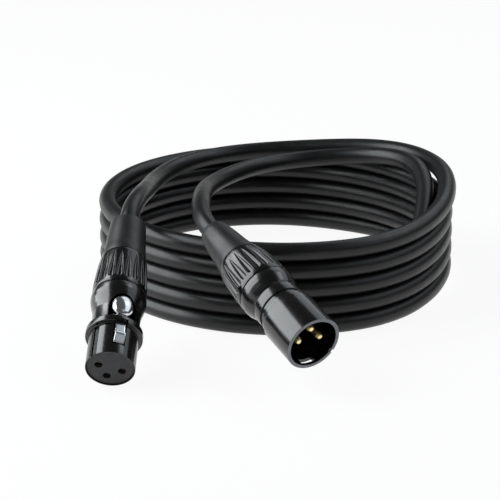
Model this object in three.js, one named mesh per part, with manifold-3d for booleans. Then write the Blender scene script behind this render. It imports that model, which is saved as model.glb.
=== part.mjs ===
// A coiled microphone cable with a three-contact female connector and a three-pin male connector.
// Millimetres, +Z up. The cable lies on the ground at z = 0 and the origin is at the middle of its
// footprint. Both connectors lie with their tails on top of the coil, and the female one stands on its
// nose in front of it.
import * as THREE from 'three';
import { mergeVertices } from 'three/addons/utils/BufferGeometryUtils.js';
import Module from 'manifold-3d';

const wasm = await Module();
wasm.setup();

// ---- Driving dimensions -------------------------------------------------------------------------

// Clearances between pieces that fit together.
const seat = 0.3; // between two pieces that rest against each other
const running = 0.3; // round a piece that slides or turns
const edge = 0.3; // break of an outer edge
const past = 1; // how far a cutter reaches beyond what it cuts

// Cable and its three conductors.
const cableR = 3.3;
const coreR = 0.8;
const cableSides = 8;
const leadSteps = { male: 42, female: 27 };

// Ring of stacked turns: an oval that leans a little, seen from above.
const ringCentre = new THREE.Vector2(-0.67, 28.03);
const ringHalfWidth = 61.8;
const ringHalfDepth = 67.8;
const ringLean = 2.6;
const turnPitch = 6.6;
const turnFlat = 3.0; // half height of the section where turn lies on turn
const stepDeg = 15;
const startDeg = 60;
const endDeg = 1740;
const climbFromDeg = -60; // each turn climbs to the next layer over this stretch
const climbDeg = 80;

// Places of the two connectors' noses: across from the middle of the ring, before its front and above
// the ground. The male one is held up by its cable and lies with its boot on the ring.
const malePose = { across: 10.76, before: 54.0, lift: 7.0, headingDeg: -31.2, riseDeg: 18.4, rollDeg: 178 };
const femalePose = { across: -53.72, before: 52.85, lift: 0, headingDeg: 3.02, riseDeg: 27.76, rollDeg: 21 };

// Contact pattern shared by both connectors.
const contactCircle = 3.95;
const pinR = 1.2;
const socketR = 1.65;
const cupR = 1.45;
const contactGap = 0.1; // between a pin and the contact that takes it

// Male connector, distances along its axis from the rim.
const male = {
  rimR: 9.5, // outside of the socket tube
  socketBore: 8.28, // inside of the socket tube
  tubeEnd: 15.3,
  shoulderR: 8.85, // step behind the tube
  shoulderTo: 17.3,
  grooveR: 8.0,
  ringFrom: 19.3, // raised ring between the two grooves of the neck
  ringTo: 23.0,
  ringR: 8.5,
  coneFrom: 23.5,
  coneTo: 28,
  bodyR: 9.6,
  shellEnd: 30,
  socketDepth: 15,
  lipLength: 1.1, // lip of the insert before the step of the shell
  stepLength: 1, // slope of that step
  tipDepth: 2.3, // pin tips behind the rim
  insertEnd: 23.5,
  cupEnd: 27,
  boreR: 6.6,
  spigotEnd: 36.3,
  windowFrom: 1.2,
  windowTo: 3.1,
  windowWidth: 5,
  pocketTo: 6.2, // blind pocket of the bore, where the hook of a mating latch catches
  pocketWidth: 4,
  pocketWall: 0.3, // wall left outside the pocket
  keyWidth: 1.5,
  keyHeight: 0.7,
  keyFrom: 8,
  keyDeg: 58, // from the window round to the key
  collarTailR: 8.1,
  bootTo: 66,
  bootBaseR: 7.7,
  bootMiddleR: 6.2,
  bootTipR: 4.6,
};

// Female connector, distances along its axis from the nose.
const female = {
  noseR: 8.05,
  noseBore: 7.35,
  flangeFrom: 12.9,
  flangeTo: 15.3,
  flangeR: 9.35,
  waistTo: 22,
  waistR: 7.9,
  bulgeAt: 28.4,
  bodyR: 9.2,
  shellEnd: 31,
  boreR: 6.6,
  spigotEnd: 37.3,
  insertEnd: 15,
  cupEnd: 20.5,
  holeR: 1.5,
  collarTailR: 7.8,
  bootTo: 65,
  bootBaseR: 7.5,
  bootMiddleR: 6.75,
  bootTipR: 6.1,
  keywayWidth: 2.2,
  keywayDepth: 0.45,
  keywayDeg: 58, // from the latch round to the keyway
  faceDepth: 0.4, // face of the insert behind the nose
  mouthDepth: 2, // length of the narrow mouths in the face
  shelfThick: 1.2, // shelf of the insert under the latch spring
  slitWidth: 0.4, // slit of a contact
  slitLength: 7,
};

// Latch of the female connector: a lever on a cross pin near the end of the shell.
const bossR = 1.2;
const bossCover = 0.9; // wall of the shell over the boss of the lever
const latch = {
  width: 3.4,
  thickness: 1.0,
  top: 7.7,
  hookFrom: 4.7,
  hookCrest: 8.6,
  hookHeight: 1.45,
  hookFlat: 1, // level top of the hook
  tabFrom: 16.4,
  tabTo: 25,
  tabWidth: 6.8,
  tabHeight: 2.0,
  pivotAt: 28.2,
  pivotHeight: female.bodyR - bossCover - running - bossR,
  pinR: 0.5,
  pinCover: 0.6, // wall of the shell outside the ends of the cross pin
  travelDeg: 3.5,
  slotGap: 0.4, // each side of the strip
  flangeCut: 1.2, // how far the slot of the strip runs into the flange
  recessGap: 0.6, // round the tab
  springThick: 0.3,
  springWidth: 2.6,
};

// Clamp, collar and boot behind each shell.
const spigotWall = 0.85;
const chuckR = 6.3;
const chuckInside = 3.6; // length of the clamp inside the spigot
const chuckBeyond = 6;
const chuckTailR = 5.1;
const chuckSlit = 0.8;
const collarLength = 16.2;
const flutes = 20;
const fluteDepth = 0.55;
const sleeveLength = 3.2;
const bootBore = cableR + running;
const straightBeyondBoot = 4.5;
const straightSteps = 3; // steps of the cable inside each connector
const cupWall = 0.4;
const cupDepth = 2.5;
const coreCircle = 1.36; // centres of the conductors inside the jacket

// Round stretches.
const roundSides = 32;
const smallSides = 12;
const coreSides = 6;
const coreSteps = 5;
const flutePoints = 3; // points of a section from one flute to the next

// ---- Helpers --------------------------------------------------------------------------------------

const deg = THREE.MathUtils.degToRad;

function material(color, roughness, metalness) {
  return new THREE.MeshStandardMaterial({ color, roughness, metalness });
}

// A closed geometry as a solid that can be joined and cut.
function solid(geometry) {
  const bare = geometry.clone();
  bare.deleteAttribute('normal');
  bare.deleteAttribute('uv');
  const merged = mergeVertices(bare, 1e-4);
  const vertProperties = new Float32Array(merged.attributes.position.array);
  const triVerts = new Uint32Array(merged.index.array);
  return new wasm.Manifold(new wasm.Mesh({ numProp: 3, vertProperties, triVerts }));
}

function geometryOf(body) {
  const mesh = body.getMesh();
  const geometry = new THREE.BufferGeometry();
  geometry.setAttribute('position', new THREE.BufferAttribute(new Float32Array(mesh.vertProperties), 3));
  geometry.setIndex(new THREE.BufferAttribute(new Uint32Array(mesh.triVerts), 1));
  geometry.computeVertexNormals();
  return geometry;
}

function node(name, body, finish) {
  const mesh = new THREE.Mesh(geometryOf(body), finish);
  mesh.name = name;
  return mesh;
}

// A solid of revolution about the axis of a connector. The outline holds [radius, distance] pairs,
// up the outside and back down the inside.
function revolve(outline, sides = roundSides) {
  const points = outline.map(([r, s]) => new THREE.Vector2(r, s));
  points.push(points[0].clone());
  const geometry = new THREE.LatheGeometry(points, sides);
  geometry.rotateX(Math.PI / 2);
  return solid(geometry);
}

function rod(radius, from, to, sides = smallSides) {
  return revolve([[0, from], [radius, from], [radius, to], [0, to]], sides);
}

function block(x0, x1, y0, y1, z0, z1) {
  const geometry = new THREE.BoxGeometry(x1 - x0, y1 - y0, z1 - z0);
  geometry.translate((x0 + x1) / 2, (y0 + y1) / 2, (z0 + z1) / 2);
  return solid(geometry);
}

// A flat outline in the plane of height and distance, as thick as width, centred across the axis.
function sideExtrude(shape, width) {
  const geometry = new THREE.ExtrudeGeometry(shape, { depth: width, bevelEnabled: false, curveSegments: 6 });
  geometry.translate(0, 0, -width / 2);
  geometry.rotateY(-Math.PI / 2);
  return solid(geometry);
}

// A rod across the axis, for cross pins and their holes.
function crossRod(radius, length, height, distance) {
  const geometry = new THREE.CylinderGeometry(radius, radius, length, smallSides);
  geometry.rotateZ(Math.PI / 2);
  geometry.translate(0, height, distance);
  return solid(geometry);
}

// The three places of the contact pattern. The latch side is +Y, and contact 3 lies opposite.
const contactPlaces = [
  [contactCircle, 0],
  [-contactCircle, 0],
  [0, -contactCircle],
];

// A round section swept along a path.
function sweep(path, radius, sides, steps) {
  const section = new THREE.Shape();
  for (let i = 0; i < sides; i++) {
    const angle = ((i + 0.5) / sides) * 2 * Math.PI;
    const x = radius * Math.cos(angle);
    const y = radius * Math.sin(angle);
    if (i === 0) section.moveTo(x, y);
    else section.lineTo(x, y);
  }
  section.closePath();
  return solid(new THREE.ExtrudeGeometry(section, { extrudePath: path, steps, bevelEnabled: false }));
}

// ---- Finishes -------------------------------------------------------------------------------------

const jacket = material(0x101011, 0.5, 0);
const blackMetal = material(0x0c0c0e, 0.3, 0.4);
const blackPlastic = material(0x131314, 0.45, 0);
const darkInsert = material(0x1c1c1d, 0.75, 0);
const blackRubber = material(0x0e0e0e, 0.7, 0);
const gold = material(0xe0b94f, 0.25, 1);
const chrome = material(0xc9ccd0, 0.15, 1);
const greyPlastic = material(0x55575a, 0.6, 0);
const coreFinishes = [material(0xb32020, 0.5, 0), material(0xe6e6e2, 0.5, 0), material(0xb87333, 0.4, 0.8)];
const coreNames = ['core_red', 'core_white', 'drain_wire'];

// ---- Ring of turns --------------------------------------------------------------------------------

// The middle of the cable on the ring, seen from above and measured from the middle of the ring.
function ringPoint(angleDeg) {
  const a = deg(angleDeg);
  const x = ringHalfWidth * Math.cos(a) - ringLean * Math.sin(a);
  return new THREE.Vector2(x, ringHalfDepth * Math.sin(a));
}

function ringTangent(angleDeg) {
  const a = deg(angleDeg);
  const x = -ringHalfWidth * Math.sin(a) - ringLean * Math.cos(a);
  return new THREE.Vector2(x, ringHalfDepth * Math.cos(a)).normalize();
}

// Height of the cable's middle: level, with one climb a turn.
function turnHeight(angleDeg) {
  const laps = Math.floor((angleDeg - climbFromDeg) / 360) - 1;
  const along = (angleDeg - climbFromDeg - 360 * (laps + 1)) / climbDeg;
  const climb = THREE.MathUtils.smoothstep(along, 0, 1);
  return cableR + turnPitch * (laps + climb);
}

// Centre, sideways direction and height of every ring of the coil's tube, with straight ends.
function coilStations() {
  const stations = [];
  for (let a = startDeg; a <= endDeg; a += stepDeg) {
    const centre = ringPoint(a);
    const tangent = ringTangent(a);
    stations.push({ centre, tangent, height: turnHeight(a) });
  }
  const first = stations[0];
  const last = stations[stations.length - 1];
  const straight = 2 * cableR;
  const before = first.centre.clone().addScaledVector(first.tangent, -straight);
  const after = last.centre.clone().addScaledVector(last.tangent, straight);
  stations.unshift({ centre: before, tangent: first.tangent, height: first.height });
  stations.push({ centre: after, tangent: last.tangent, height: last.height });
  return stations;
}

const stations = coilStations();

// Six corners of the section: flat where turns lie on each other, and down to the ground below.
function sectionCorners(station) {
  const lifted = THREE.MathUtils.clamp((station.height - cableR) / turnPitch, 0, 1);
  const under = THREE.MathUtils.lerp(cableR, turnFlat, lifted);
  const outX = station.tangent.y;
  const outY = -station.tangent.x;
  const corners = [
    [cableR, 0],
    [cableR / 2, turnFlat],
    [-cableR / 2, turnFlat],
    [-cableR, 0],
    [-cableR / 2, -under],
    [cableR / 2, -under],
  ];
  return corners.map(([across, up]) => [
    station.centre.x + outX * across,
    station.centre.y + outY * across,
    station.height + up,
  ]);
}

function coilSolid() {
  const positions = [];
  const index = [];
  const sides = 6;
  for (const station of stations) {
    for (const corner of sectionCorners(station)) positions.push(...corner);
  }
  for (let ring = 0; ring < stations.length - 1; ring++) {
    for (let side = 0; side < sides; side++) {
      const a = ring * sides + side;
      const b = ring * sides + ((side + 1) % sides);
      index.push(a, a + sides, b);
      index.push(b, a + sides, b + sides);
    }
  }
  const lastRing = (stations.length - 1) * sides;
  for (let side = 1; side < sides - 1; side++) {
    index.push(0, side, side + 1);
    index.push(lastRing, lastRing + side + 1, lastRing + side);
  }
  const geometry = new THREE.BufferGeometry();
  geometry.setAttribute('position', new THREE.BufferAttribute(new Float32Array(positions), 3));
  geometry.setIndex(index);
  return solid(geometry);
}

// Least gap between turns, measured from the corners of each station to the stations a turn later.
function leastTurnGap() {
  const perTurn = 360 / stepDeg;
  let least = Infinity;
  for (let i = 0; i < stations.length; i++) {
    const top = stations[i].height + turnFlat;
    for (let j = i + perTurn - 2; j <= i + perTurn + 2 && j < stations.length; j++) {
      const low = sectionCorners(stations[j])[4][2];
      const apart = stations[i].centre.distanceTo(stations[j].centre);
      if (apart < 2 * cableR) least = Math.min(least, Math.hypot(low - top, Math.max(0, apart - cableR)));
    }
  }
  return least;
}

// ---- Connectors' places ---------------------------------------------------------------------------

// A connector's own frame: Z runs from its nose to its tail and Y points at the latch side.
function placed(pose, rimRadius) {
  const heading = deg(pose.headingDeg);
  const rise = deg(pose.riseDeg);
  const axis = new THREE.Vector3(
    Math.sin(heading) * Math.cos(rise),
    Math.cos(heading) * Math.cos(rise),
    Math.sin(rise),
  );
  const latchSide = new THREE.Vector3(0, 0, 1);
  latchSide.addScaledVector(axis, -latchSide.dot(axis)).normalize();
  latchSide.applyAxisAngle(axis, deg(pose.rollDeg));
  const across = new THREE.Vector3().crossVectors(latchSide, axis);
  const frame = new THREE.Group();
  frame.quaternion.setFromRotationMatrix(new THREE.Matrix4().makeBasis(across, latchSide, axis));
  frame.position.set(pose.across, -ringHalfDepth - pose.before, rimRadius * Math.cos(rise) + pose.lift);
  return { frame, axis };
}

const malePlace = placed(malePose, male.rimR);
const femalePlace = placed(femalePose, female.noseR);

// ---- Free cable -----------------------------------------------------------------------------------

// Route of the male connector's lead from its boot: over the front of the ring, across the inside to
// the right, down the inner wall, round on the ground and out under the ring to the first turn.
const maleRoute = [
  [-26.9, -55.7, 41.3],
  [-26.6, -48.3, 41.3],
  [-26.0, -37.4, 40.2],
  [-26.0, -26.7, 38.5],
  [-25.0, -9.8, 36.5],
  [-20.5, 8.9, 34.5],
  [-13.2, 25.2, 33.5],
  [-5.5, 36.6, 33.0],
  [10.2, 46.1, 32.8],
  [19.7, 46.6, 33.5],
  [28.7, 45.4, 34.3],
  [37.2, 42.4, 35.3],
  [45.0, 36.9, 36.6],
  [50.6, 29.0, 36.7],
  [54.2, 19.6, 36.5],
  [55.7, 9.6, 35.0],
  [55.2, -1.4, 30.0],
  [52.5, -15.6, 24.0],
  [47.3, -29.9, 16.0],
  [39.2, -42.2, 10.0],
  [28.7, -51.5, 5.5],
  [16.1, -57.3, 3.5],
  [2.6, -58.0, 3.35],
  [-10.0, -56.0, 3.3],
  [-29.8, -47.8, 3.3],
  [-38.0, -28.0, 3.3],
  [-29.8, -8.2, 3.3],
  [-10.0, 0.0, 3.3],
  [8.0, 0.8, 3.3],
  [26.0, 1.6, 3.3],
  [45.1, 9.5, 3.3],
  [53.0, 28.6, 3.3],
  [49.4, 42.1, 3.3],
];

// Route of the female connector's lead from its boot: over the left front of the ring, along the
// inside of its back, out over the right end and down on to the last turn.
const femaleRoute = [
  [-49.9, -50.4, 41.0],
  [-49.1, -40.4, 40.0],
  [-47.9, -27.4, 38.0],
  [-45.9, -9.8, 35.0],
  [-43.0, 14.0, 33.4],
  [-36.3, 35.4, 33.0],
  [-21.1, 51.0, 33.0],
  [-5.3, 57.6, 33.5],
  [10.5, 57.0, 34.5],
  [27.8, 53.5, 36.0],
  [41.0, 50.0, 36.9],
  [50.6, 42.9, 37.0],
  [58.6, 30.2, 36.8],
  [62.9, 14.8, 36.6],
  [63.3, 0.0, 35.3],
  [60.9, -17.6, 33.6],
  [54.8, -33.9, 31.8],
  [45.5, -47.9, 30.4],
];

function vector(point) {
  return new THREE.Vector3(point[0], point[1], point[2]);
}

// The cable from inside a connector to one end of the coil. It runs straight through the boot and a
// little beyond, so that the boot can slide back, and straight again before it meets the coil.
function leadPath(place, bootTo, route, steps, coilEnd, away) {
  const exit = place.frame.position.clone().addScaledVector(place.axis, bootTo + straightBeyondBoot);
  const face = new THREE.Vector3(coilEnd.centre.x, coilEnd.centre.y, coilEnd.height);
  const outward = new THREE.Vector3(coilEnd.tangent.x, coilEnd.tangent.y, 0).multiplyScalar(away);
  const last = face.clone().addScaledVector(outward, seat);
  const beforeLast = face.clone().addScaledVector(outward, seat + 2 * cableR);
  const points = [exit, ...route.map(vector), beforeLast, last];
  const free = new THREE.CatmullRomCurve3(points, false, 'centripetal');
  const step = free.getLength() / (steps - straightSteps);
  const inner = exit.clone().addScaledVector(place.axis, -straightSteps * step);
  const path = new THREE.CurvePath();
  path.add(new THREE.LineCurve3(inner, exit));
  path.add(free);
  return { path, jacketEnd: bootTo + straightBeyondBoot - straightSteps * step, length: path.getLength() };
}

const coilStart = stations[0];
const coilFinish = stations[stations.length - 1];
const maleLead = leadPath(malePlace, male.bootTo, maleRoute, leadSteps.male, coilStart, -1);
const femaleLead = leadPath(femalePlace, female.bootTo, femaleRoute, leadSteps.female, coilFinish, 1);

// ---- Pieces that both connectors have ---------------------------------------------------------------

// Rear of a shell, as the last part of an outline: down to the threaded spigot and back inside.
function spigotOutline(body, shellEnd, spigotEnd, boreR) {
  return [
    [body, shellEnd],
    [boreR + spigotWall, shellEnd],
    [boreR + spigotWall, spigotEnd],
    [boreR, spigotEnd],
  ];
}

// Clamp that grips the cable: a slit sleeve with a tapered tail.
function chuck(spigotEnd) {
  const from = spigotEnd - chuckInside;
  const to = spigotEnd + chuckBeyond;
  const bore = cableR + running;
  const sleeve = revolve([[chuckR, from], [chuckR, spigotEnd], [chuckTailR, to], [bore, to], [bore, from]]);
  return sleeve.subtract(block(-chuckSlit / 2, chuckSlit / 2, -chuckR - past, 0, from - past, to + past));
}

// Ribbed collar: teardrop flutes, round at the shell and running out towards the boot.
function collar(shellEnd, spigotEnd, boreR, bodyR, endR) {
  const from = shellEnd + seat;
  const to = from + collarLength;
  const at = (share) => from + collarLength * share;
  const rows = [
    [from, bodyR - edge, 0],
    [from + edge, bodyR, 0],
    [at(0.12), bodyR, 0],
    [at(0.17), bodyR, 1],
    [at(0.4), THREE.MathUtils.lerp(bodyR, endR, 0.12), 1],
    [at(0.64), THREE.MathUtils.lerp(bodyR, endR, 0.4), 0.8],
    [at(0.9), THREE.MathUtils.lerp(bodyR, endR, 0.87), 0.25],
    [to, endR, 0],
  ];
  const points = [new THREE.Vector2(0, from)];
  for (const [s, r] of rows) points.push(new THREE.Vector2(r, s));
  points.push(new THREE.Vector2(0, to));
  const geometry = new THREE.LatheGeometry(points, flutes * flutePoints);
  const position = geometry.attributes.position;
  for (let i = 0; i < position.count; i++) {
    const row = i % points.length;
    const column = Math.floor(i / points.length);
    if (row === 0 || row === points.length - 1 || column % flutePoints !== 0) continue;
    const [s, r, share] = rows[row - 1];
    const shrink = (r - fluteDepth * share) / r;
    position.setXYZ(i, position.getX(i) * shrink, s, position.getZ(i) * shrink);
  }
  geometry.rotateX(Math.PI / 2);
  const spigotR = boreR + spigotWall + running;
  const tailR = chuckTailR + seat;
  const bore = revolve([
    [0, from - past],
    [spigotR, from - past],
    [spigotR, spigotEnd + seat],
    [chuckR + seat, spigotEnd + seat],
    [tailR, spigotEnd + chuckBeyond],
    [tailR, to + past],
    [0, to + past],
  ]);
  return { body: solid(geometry).subtract(bore), end: to };
}

// Rubber boot: a tapered sleeve over the cable, with a collar of its own inside the ribbed collar.
function boot(size, collarEnd) {
  const from = collarEnd + seat;
  const sleeveR = chuckTailR;
  const middle = (from + size.bootTo) / 2;
  return revolve([
    [sleeveR, collarEnd - sleeveLength],
    [sleeveR, from],
    [size.bootBaseR - edge, from],
    [size.bootBaseR, from + edge],
    [size.bootMiddleR, middle],
    [size.bootTipR, size.bootTo - edge],
    [size.bootTipR - edge, size.bootTo],
    [bootBore, size.bootTo],
    [bootBore, collarEnd - sleeveLength],
  ]);
}

// Three conductors from the end of the jacket to the cups of the contacts.
function cores(prefix, cupEnd, jacketEnd) {
  const from = cupEnd + seat;
  const to = jacketEnd - seat;
  return contactPlaces.map(([x, y], i) => {
    const shrink = coreCircle / contactCircle;
    const curve = new THREE.CubicBezierCurve3(
      new THREE.Vector3(x, y, from),
      new THREE.Vector3(x, y, from + (to - from) * 0.4),
      new THREE.Vector3(x * shrink, y * shrink, to - (to - from) * 0.4),
      new THREE.Vector3(x * shrink, y * shrink, to),
    );
    return node(`${prefix}_${coreNames[i]}`, sweep(curve, coreR, coreSides, coreSteps), coreFinishes[i]);
  });
}

// ---- Male connector ---------------------------------------------------------------------------------

function maleShell() {
  const m = male;
  const stepFrom = m.socketDepth + m.lipLength + 2 * seat;
  const body = revolve([
    [m.rimR - edge, 0],
    [m.rimR, edge],
    [m.rimR, m.tubeEnd - edge],
    [m.rimR - edge, m.tubeEnd],
    [m.shoulderR, m.tubeEnd],
    [m.shoulderR, m.shoulderTo],
    [m.grooveR, m.shoulderTo],
    [m.grooveR, m.ringFrom],
    [m.ringR, m.ringFrom],
    [m.ringR, m.ringTo],
    [m.grooveR, m.ringTo],
    [m.grooveR, m.coneFrom],
    [THREE.MathUtils.lerp(m.grooveR, m.bodyR, 0.6), (m.coneFrom + m.coneTo) / 2],
    [m.bodyR, m.coneTo],
    ...spigotOutline(m.bodyR, m.shellEnd, m.spigotEnd, m.boreR),
    [m.boreR, stepFrom + m.stepLength],
    [m.socketBore, stepFrom],
    [m.socketBore, 0],
  ]);
  const half = m.windowWidth / 2;
  const window = block(-half, half, m.boreR, m.rimR + past, m.windowFrom, m.windowTo);
  const key = block(
    -m.keyWidth / 2,
    m.keyWidth / 2,
    m.socketBore - m.keyHeight,
    (m.socketBore + m.rimR) / 2,
    m.keyFrom,
    m.socketDepth - seat,
  );
  const pocketHalf = m.pocketWidth / 2;
  const pocketFrom = m.windowTo + 2 * seat;
  const pocketR = m.rimR - m.pocketWall;
  const pocket = block(-pocketHalf, pocketHalf, m.boreR, pocketR, pocketFrom, m.pocketTo);
  return body.subtract(window).subtract(pocket).add(key.rotate([0, 0, -m.keyDeg]));
}

function maleInsert() {
  const m = male;
  const lipR = m.socketBore - seat;
  let body = revolve([
    [0, m.socketDepth],
    [lipR, m.socketDepth],
    [lipR, m.socketDepth + m.lipLength],
    [m.boreR - seat, m.socketDepth + m.lipLength + m.stepLength + seat],
    [m.boreR - seat, m.insertEnd],
    [0, m.insertEnd],
  ]);
  for (const [x, y] of contactPlaces) {
    body = body.subtract(rod(pinR + seat, m.socketDepth - past, m.insertEnd + past).translate([x, y, 0]));
  }
  return body;
}

function contactPin() {
  const m = male;
  return revolve([
    [0, m.tipDepth],
    [pinR * 0.6, m.tipDepth + 0.25],
    [pinR, m.tipDepth + 1.1],
    [pinR, m.insertEnd + seat],
    [cupR, m.insertEnd + seat],
    [cupR, m.cupEnd],
    [cupR - cupWall, m.cupEnd],
    [cupR - cupWall, m.cupEnd - cupDepth],
    [0, m.cupEnd - cupDepth],
  ], smallSides);
}

function maleConnector() {
  const frame = malePlace.frame;
  const m = male;
  frame.add(node('male_shell', maleShell(), blackMetal));
  frame.add(node('male_insert', maleInsert(), darkInsert));
  contactPlaces.forEach(([x, y], i) => {
    frame.add(node(`male_pin_${i + 1}`, contactPin().translate([x, y, 0]), gold));
  });
  const ribbed = collar(m.shellEnd, m.spigotEnd, m.boreR, m.bodyR, m.collarTailR);
  frame.add(node('male_cable_clamp', chuck(m.spigotEnd), greyPlastic));
  frame.add(node('male_collar', ribbed.body, blackPlastic));
  frame.add(node('male_boot', boot(m, ribbed.end), blackRubber));
  frame.add(...cores('male', m.cupEnd, maleLead.jacketEnd));
  return frame;
}

// ---- Female connector -------------------------------------------------------------------------------

// Lever seen from the side: height across, distance along. The hook ramps up from the nose and
// drops at its catch, and the tail carries the boss of the cross pin.
function latchLever() {
  const l = latch;
  const under = l.top - l.thickness;
  const side = new THREE.Shape();
  side.moveTo(l.hookFrom, under);
  side.lineTo(l.pivotAt, under);
  side.lineTo(l.pivotAt, l.top);
  side.lineTo(l.hookCrest + edge, l.top);
  side.lineTo(l.hookCrest, l.top + l.hookHeight);
  side.lineTo(l.hookCrest - l.hookFlat, l.top + l.hookHeight);
  side.lineTo(l.hookFrom, l.top);
  side.closePath();
  const strip = sideExtrude(side, l.width);
  const dome = new THREE.SphereGeometry(1, 16, 10);
  dome.scale(l.tabWidth / 2, l.tabHeight, (l.tabTo - l.tabFrom) / 2);
  dome.translate(0, l.top, (l.tabFrom + l.tabTo) / 2);
  const boss = crossRod(bossR, l.width, l.pivotHeight, l.pivotAt);
  const hole = crossRod(l.pinR + running, l.width + 2 * past, l.pivotHeight, l.pivotAt);
  const below = block(-l.tabWidth, l.tabWidth, under - l.tabHeight, under, l.tabFrom - past, l.tabTo + past);
  const tab = solid(dome).subtract(below);
  return strip.add(boss).add(tab).subtract(hole);
}

// Length of the cross pin, whose ends lie in blind holes of the shell.
function pinLength() {
  const reach = female.bodyR - latch.pinCover;
  return 2 * Math.sqrt(reach * reach - latch.pivotHeight * latch.pivotHeight);
}

// Height that clears the lever's underside at a distance from the nose when the tab is pressed.
function pressedUnderside(distance) {
  const reach = latch.pivotAt - distance;
  return latch.top - latch.thickness - reach * Math.sin(deg(latch.travelDeg)) - running;
}

function femaleShell() {
  const f = female;
  const l = latch;
  const rise = (f.bulgeAt - f.waistTo) / 4;
  const body = revolve([
    [f.noseR - edge, 0],
    [f.noseR, edge],
    [f.noseR, f.flangeFrom],
    [f.flangeR - edge, f.flangeFrom],
    [f.flangeR, f.flangeFrom + edge],
    [f.flangeR, f.flangeTo - edge],
    [f.flangeR - edge, f.flangeTo],
    [f.waistR, f.flangeTo + edge],
    [f.waistR, f.waistTo],
    [THREE.MathUtils.lerp(f.waistR, f.bodyR, 0.2), f.waistTo + rise],
    [THREE.MathUtils.lerp(f.waistR, f.bodyR, 0.8), f.bulgeAt - rise],
    [f.bodyR, f.bulgeAt],
    ...spigotOutline(f.bodyR - edge / 2, f.shellEnd, f.spigotEnd, f.boreR),
    [f.boreR, f.insertEnd + 1.8],
    [f.noseBore, f.insertEnd + 0.8],
    [f.noseBore, 0],
  ]);
  const half = l.width / 2 + l.slotGap;
  const low = pressedUnderside(l.hookFrom);
  const slotFrom = l.hookFrom - 2 * l.slotGap;
  const slotTo = f.flangeFrom + l.flangeCut;
  const bossHigh = l.pivotHeight + bossR + running;
  const bossFrom = l.pivotAt - bossR - running;
  const bossTo = l.pivotAt + bossR + running;
  const noseSlot = block(-half, half, low, f.flangeR + past, slotFrom, slotTo);
  const passage = block(-half, half, low, l.top + running, slotFrom, bossTo);
  const bossRoom = block(-half, half, low, bossHigh, bossFrom, bossTo);
  const recessHalf = l.tabWidth / 2 + l.recessGap;
  const recessEnd = l.tabTo + l.recessGap - recessHalf;
  const recessFloor = pressedUnderside(f.flangeTo);
  const recessTop = f.bodyR + past;
  const recess = block(-recessHalf, recessHalf, recessFloor, recessTop, f.flangeTo + edge, recessEnd);
  const round = rod(recessHalf, recessFloor, recessTop, 2 * smallSides).rotate([-90, 0, 0]);
  const pinHole = crossRod(l.pinR + seat, pinLength() + 2 * seat, l.pivotHeight, l.pivotAt);
  const keyway = block(
    -f.keywayWidth / 2,
    f.keywayWidth / 2,
    f.noseR - f.keywayDepth,
    f.noseR + past,
    -past,
    f.flangeFrom - seat,
  );
  return body
    .subtract(noseSlot)
    .subtract(passage)
    .subtract(bossRoom)
    .subtract(recess)
    .subtract(round.translate([0, 0, recessEnd]))
    .subtract(pinHole)
    .subtract(keyway.rotate([0, 0, -f.keywayDeg]));
}

function femaleInsert() {
  const f = female;
  const low = pressedUnderside(latch.hookFrom);
  const shelfTop = low - latch.slotGap;
  const outerR = f.noseBore - seat;
  const half = latch.width / 2 + latch.slotGap;
  const front = latch.hookFrom - 2 * latch.slotGap;
  let body = revolve([
    [0, f.faceDepth],
    [outerR, f.faceDepth],
    [outerR, f.insertEnd],
    [0, f.insertEnd],
  ]);
  const shelfTo = latch.tabTo - past;
  const shelf = block(-half, half, shelfTop - f.shelfThick, shelfTop, f.insertEnd - past, shelfTo);
  body = body.add(shelf).subtract(block(-half, half, shelfTop, f.noseR + past, front, f.insertEnd + past));
  for (const [x, y] of contactPlaces) {
    const mouth = rod(f.holeR, -past, f.mouthDepth + past);
    const bore = rod(socketR + seat, f.mouthDepth, f.insertEnd + past);
    body = body.subtract(mouth.add(bore).translate([x, y, 0]));
  }
  return { body, shelfTop };
}

function contactSocket() {
  const f = female;
  const front = f.mouthDepth + seat;
  const inner = pinR + contactGap;
  const tubeEnd = f.insertEnd + seat;
  const tube = revolve([
    [inner, front],
    [socketR, front],
    [socketR, tubeEnd],
    [cupR, tubeEnd + 0.5],
    [cupR, f.cupEnd],
    [cupR - cupWall, f.cupEnd],
    [cupR - cupWall, f.cupEnd - cupDepth],
    [0, f.cupEnd - cupDepth],
    [0, f.insertEnd - past],
    [inner, f.insertEnd - past],
  ], smallSides);
  const slitTo = front + f.slitLength;
  const slit = block(-f.slitWidth / 2, f.slitWidth / 2, -2 * socketR, 2 * socketR, front - past, slitTo);
  return tube.subtract(slit);
}

// Leaf spring under the tab, bowed between the shelf of the insert and the lever.
function latchSpring(shelfTop) {
  const l = latch;
  const thick = l.springThick;
  const low = shelfTop + seat;
  const high = l.top - l.thickness - seat;
  const from = l.tabFrom - seat;
  const to = l.tabTo - past - seat;
  const bow = new THREE.CatmullRomCurve3([
    new THREE.Vector3(from, low + thick / 2, 0),
    new THREE.Vector3((from * 3 + to) / 4, (low + high) / 2, 0),
    new THREE.Vector3((from + to) / 2, high - thick / 2, 0),
    new THREE.Vector3((from + to * 3) / 4, (low + high) / 2, 0),
    new THREE.Vector3(to, low + thick / 2, 0),
  ]);
  const points = bow.getPoints(10);
  const outline = new THREE.Shape();
  points.forEach((p, i) => {
    if (i === 0) outline.moveTo(p.x, p.y + thick / 2);
    else outline.lineTo(p.x, p.y + thick / 2);
  });
  for (let i = points.length - 1; i >= 0; i--) outline.lineTo(points[i].x, points[i].y - thick / 2);
  outline.closePath();
  return sideExtrude(outline, l.springWidth);
}

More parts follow.
